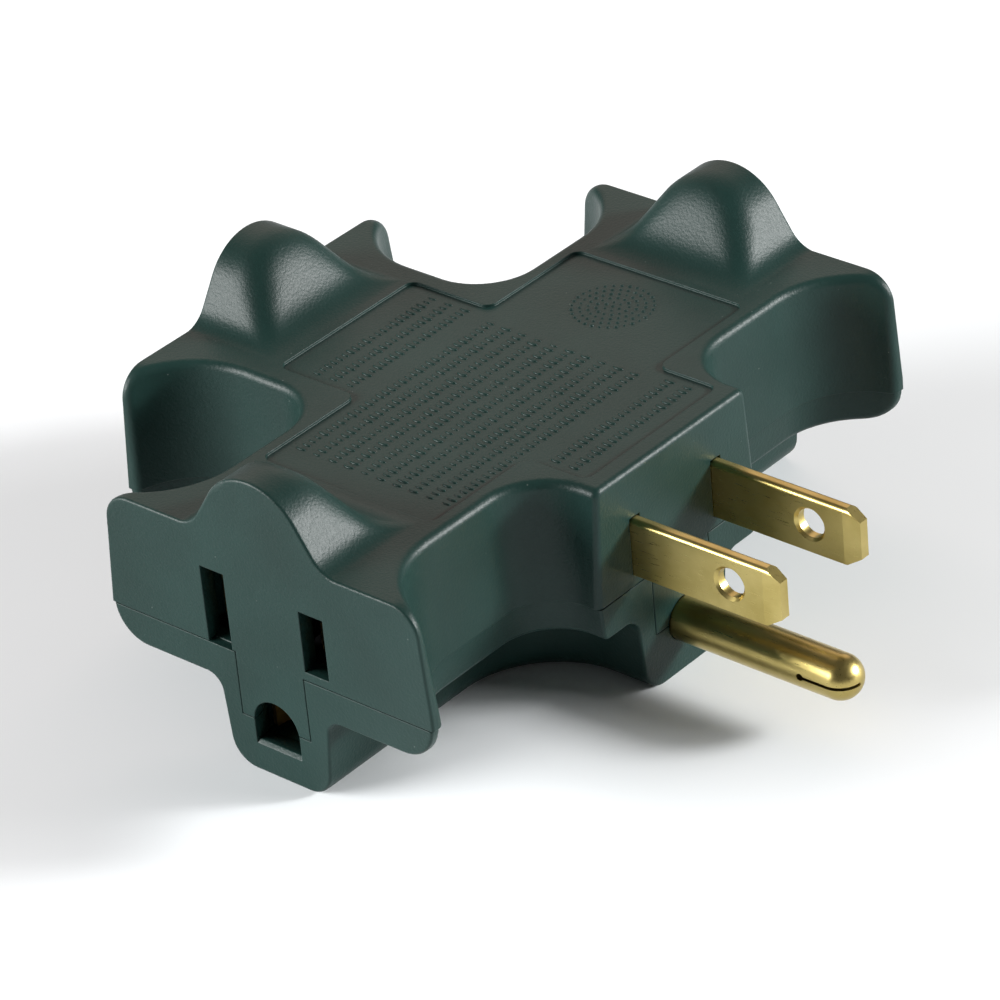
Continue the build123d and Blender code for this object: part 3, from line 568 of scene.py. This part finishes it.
# %% Rivet places from the solids
def island_boxes(node):
    """The low and high corner of each separate piece in a node."""
    shell = merged_copy(node)
    unseen, boxes = set(shell.verts), []
    for start in shell.verts:
        if start not in unseen:
            continue
        unseen.remove(start)
        front, island = [start], []
        while front:
            vert = front.pop()
            island.append(vert.co.copy())
            for edge in vert.link_edges:
                other = edge.other_vert(vert)
                if other in unseen:
                    unseen.remove(other)
                    front.append(other)
        low = Vector([min(place[i] for place in island) for i in range(3)])
        high = Vector([max(place[i] for place in island) for i in range(3)])
        boxes.append((low, high))
    shell.free()
    return boxes


rivet_boxes = {node: island_boxes(node) for node in ("neutral_rivets", "hot_rivets", "ground_rivets")}
print("rivets in each node:", {node: len(boxes) for node, boxes in rivet_boxes.items()})


# %% Helpers for shapes that repeat on points
def points_tree(name, sizes, finish):
    """A tree that takes points, named sizes and a material, with what it is given to work from."""
    tree = bpy.data.node_groups.new(name, "GeometryNodeTree")
    tree.interface.new_socket(name="Points", in_out="INPUT", socket_type="NodeSocketGeometry")
    for size in sizes:
        tree.interface.new_socket(name=size, in_out="INPUT", socket_type="NodeSocketFloat")
    tree.interface.new_socket(name=finish, in_out="INPUT", socket_type="NodeSocketMaterial")
    tree.interface.new_socket(name="Shapes", in_out="OUTPUT", socket_type="NodeSocketGeometry")
    return tree, add(tree, "NodeGroupInput").outputs


def put_on_points(tree, given, shape, finish, scale=(1, 1, 1)):
    """End a tree: a smooth copy of the shape on each point, made real, in its finish."""
    smooth = add(tree, "GeometryNodeSetShadeSmooth", {"Geometry": shape})
    copies = add(tree, "GeometryNodeInstanceOnPoints", {
        "Points": given["Points"],
        "Instance": smooth.outputs[0],
        "Scale": scale,
    })
    real = add(tree, "GeometryNodeRealizeInstances", {"Geometry": copies.outputs[0]})
    done = add(tree, "GeometryNodeSetMaterial", {"Geometry": real.outputs[0], "Material": given[finish]})
    add(tree, "NodeGroupOutput", {0: done.outputs[0]})


def grown(name, points, tree, values):
    """Run a tree on a cloud of points and keep the result as a plain mesh object."""
    cloud = bpy.data.meshes.new(name + "_points")
    cloud.from_pydata([tuple(point) for point in points], [], [])
    seed = in_scene(name + "_points", cloud)
    modifier = seed.modifiers.new("grow", "NODES")
    modifier.node_group = tree
    sockets = {item.name: item.identifier for item in tree.interface.items_tree if item.in_out == "INPUT"}
    for key, value in values.items():
        modifier[sockets[key]] = value
    seen = seed.evaluated_get(bpy.context.evaluated_depsgraph_get())
    mesh = bpy.data.meshes.new_from_object(seen)
    mesh.name = name
    bpy.data.objects.remove(seed)
    return in_scene(name, mesh)


print("point helpers ready")

# %% Geometry Nodes tree for a rivet
ROUND_STEPS = 32


def rivet_tree():
    """Points in, domed rivets out."""
    tree, given = points_tree("rivets_on_points", ("Shank Radius", "Head Radius", "Head Height", "Grip"),
                              "Metal")
    shank = add(tree, "GeometryNodeMeshCylinder", {
        "Vertices": ROUND_STEPS,
        "Radius": given["Shank Radius"],
        "Depth": given["Grip"],
    })
    ball = add(tree, "GeometryNodeMeshUVSphere", {
        "Segments": ROUND_STEPS,
        "Rings": ROUND_STEPS // 2,
        "Radius": 1.0,
    })
    size = add(tree, "ShaderNodeCombineXYZ", {
        "X": given["Head Radius"],
        "Y": given["Head Radius"],
        "Z": given["Head Height"],
    })
    half = add(tree, "ShaderNodeMath", {0: given["Grip"], 1: 0.5}, operation="MULTIPLY")
    down = add(tree, "ShaderNodeMath", {0: half.outputs[0], 1: -1.0}, operation="MULTIPLY")
    heads = []
    for height in (half, down):
        place = add(tree, "ShaderNodeCombineXYZ", {"Z": height.outputs[0]})
        heads.append(add(tree, "GeometryNodeTransform", {
            "Geometry": ball.outputs["Mesh"],
            "Scale": size.outputs[0],
            "Translation": place.outputs[0],
        }))
    rivet = add(tree, "GeometryNodeJoinGeometry")
    for part in (shank.outputs["Mesh"], heads[0].outputs[0], heads[1].outputs[0]):
        tree.links.new(part, rivet.inputs[0])
    put_on_points(tree, given, rivet.outputs[0], "Metal")
    return tree


rivets_on_points = rivet_tree()
print("rivet tree nodes:", len(rivets_on_points.nodes))

# %% Grow the three rivet groups
SHANK_RADIUS, HEAD_HEIGHT = 1.0 * MM, 0.5 * MM

for node, boxes in rivet_boxes.items():
    low, high = boxes[0]
    group = grown(node + "_domed", [(low + high) / 2 for low, high in boxes], rivets_on_points, {
        "Shank Radius": SHANK_RADIUS,
        "Head Radius": (high.x - low.x) / 2,
        "Head Height": HEAD_HEIGHT,
        "Grip": high.z - low.z - 2 * HEAD_HEIGHT,
        "Metal": spring_brass,
    })
    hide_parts(node)
    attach(group, "root")
    print(node, "faces:", len(group.data.polygons))

# %% [markdown]
# Ribbed fields on the panel.
# The sunk panel on top carries fine raised detail, moulded with the shell. Here it is plain ribbing:
# rows of short low ribs that lie across their row, and one round patch of pips. Hundreds of copies of
# one small dome are again work for Geometry Nodes, and each dome has only a few dozen faces. A ray
# straight down finds the panel's floor, so the ribs stand on it whatever its height is.

# %% Panel floor and rib places
# field: low and high corner in mm, in the part's own frame
RIB_FIELDS = {
    "middle": ((-30.0, -20.6), (-11.2, 8.2)),
    "end_arm": ((-38.4, -8.8), (-34.0, 8.9)),
    "plug_edge": ((-7.3, -8.8), (-5.0, 8.9)),
}
PIP_CENTRE_MM, PIP_FIELD_RADIUS_MM = (-21.6, 17.6), 4.6
ROW_PITCH_MM, RIB_PITCH_MM = 2.1, 0.85

shell_mesh = skins["upper_housing"].data
surface = BVHTree.FromPolygons([vert.co for vert in shell_mesh.vertices],
                               [face.vertices for face in shell_mesh.polygons])
above_panel = Vector((CROSS_X_MM * MM, 0, 2 * cad_box[1].z))
panel_z = surface.ray_cast(above_panel, Vector((0, 0, -1)))[0].z


def rows_in(low, high, pitches):
    """Evenly spaced points that fill a rectangle, edge to edge."""
    counts = [round((high[i] - low[i]) / pitches[i]) for i in (0, 1)]
    steps = [(high[i] - low[i]) / counts[i] for i in (0, 1)]
    return [(low[0] + i * steps[0], low[1] + j * steps[1])
            for i in range(counts[0] + 1) for j in range(counts[1] + 1)]


def rings_in(centre, radius, pitch):
    """Points on rings round a centre, one pitch apart."""
    places = [centre]
    for ring in range(1, int(radius / pitch) + 1):
        reach = ring * pitch
        count = round(2 * math.pi * reach / pitch)
        angles = [2 * math.pi * k / count for k in range(count)]
        places += [(centre[0] + reach * math.cos(angle), centre[1] + reach * math.sin(angle))
                   for angle in angles]
    return places


rib_places = [place for low, high in RIB_FIELDS.values()
              for place in rows_in(low, high, (ROW_PITCH_MM, RIB_PITCH_MM))]
pip_places = rings_in(PIP_CENTRE_MM, PIP_FIELD_RADIUS_MM, RIB_PITCH_MM)
print("panel floor mm:", round(panel_z / MM, 3), "ribs:", len(rib_places), "pips:", len(pip_places))

# %% Geometry Nodes tree for low domes
DOME_SEGMENTS, DOME_RINGS = 8, 6
SMALLEST, LARGEST, SIZE_SEED = 0.75, 1.15, 7


def dome_tree():
    """Points in, low domes out, each slightly unlike the next in size."""
    tree, given = points_tree("domes_on_points", ("Half Length", "Half Width", "Height"), "Plastic")
    ball = add(tree, "GeometryNodeMeshUVSphere", {
        "Segments": DOME_SEGMENTS,
        "Rings": DOME_RINGS,
        "Radius": 1.0,
    })
    size = add(tree, "ShaderNodeCombineXYZ", {
        "X": given["Half Length"],
        "Y": given["Half Width"],
        "Z": given["Height"],
    })
    dome = add(tree, "GeometryNodeTransform", {"Geometry": ball.outputs["Mesh"], "Scale": size.outputs[0]})
    unlike = add(tree, "FunctionNodeRandomValue", {2: SMALLEST, 3: LARGEST, "Seed": SIZE_SEED},
                 data_type="FLOAT")
    put_on_points(tree, given, dome.outputs[0], "Plastic", unlike.outputs[1])
    return tree


domes_on_points = dome_tree()
print("dome tree nodes:", len(domes_on_points.nodes))

# %% Grow the ribs and pips
RIB_HALF_LENGTH_MM, PIP_HALF_LENGTH_MM = 0.62, 0.24
DOME_HALF_WIDTH_MM, DOME_HEIGHT_MM = 0.24, 0.13

for name, places, half_length in (("panel_ribs", rib_places, RIB_HALF_LENGTH_MM),
                                  ("panel_pips", pip_places, PIP_HALF_LENGTH_MM)):
    domes = grown(name, [(x * MM, y * MM, panel_z) for x, y in places], domes_on_points, {
        "Half Length": half_length * MM,
        "Half Width": DOME_HALF_WIDTH_MM * MM,
        "Height": DOME_HEIGHT_MM * MM,
        "Plastic": vinyl,
    })
    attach(domes, "root")
    print(name, "faces:", len(domes.data.polygons))

# %% Print the solids' box
print("solid box mm:", [[round(v / MM, 2) for v in c] for c in cad_box])
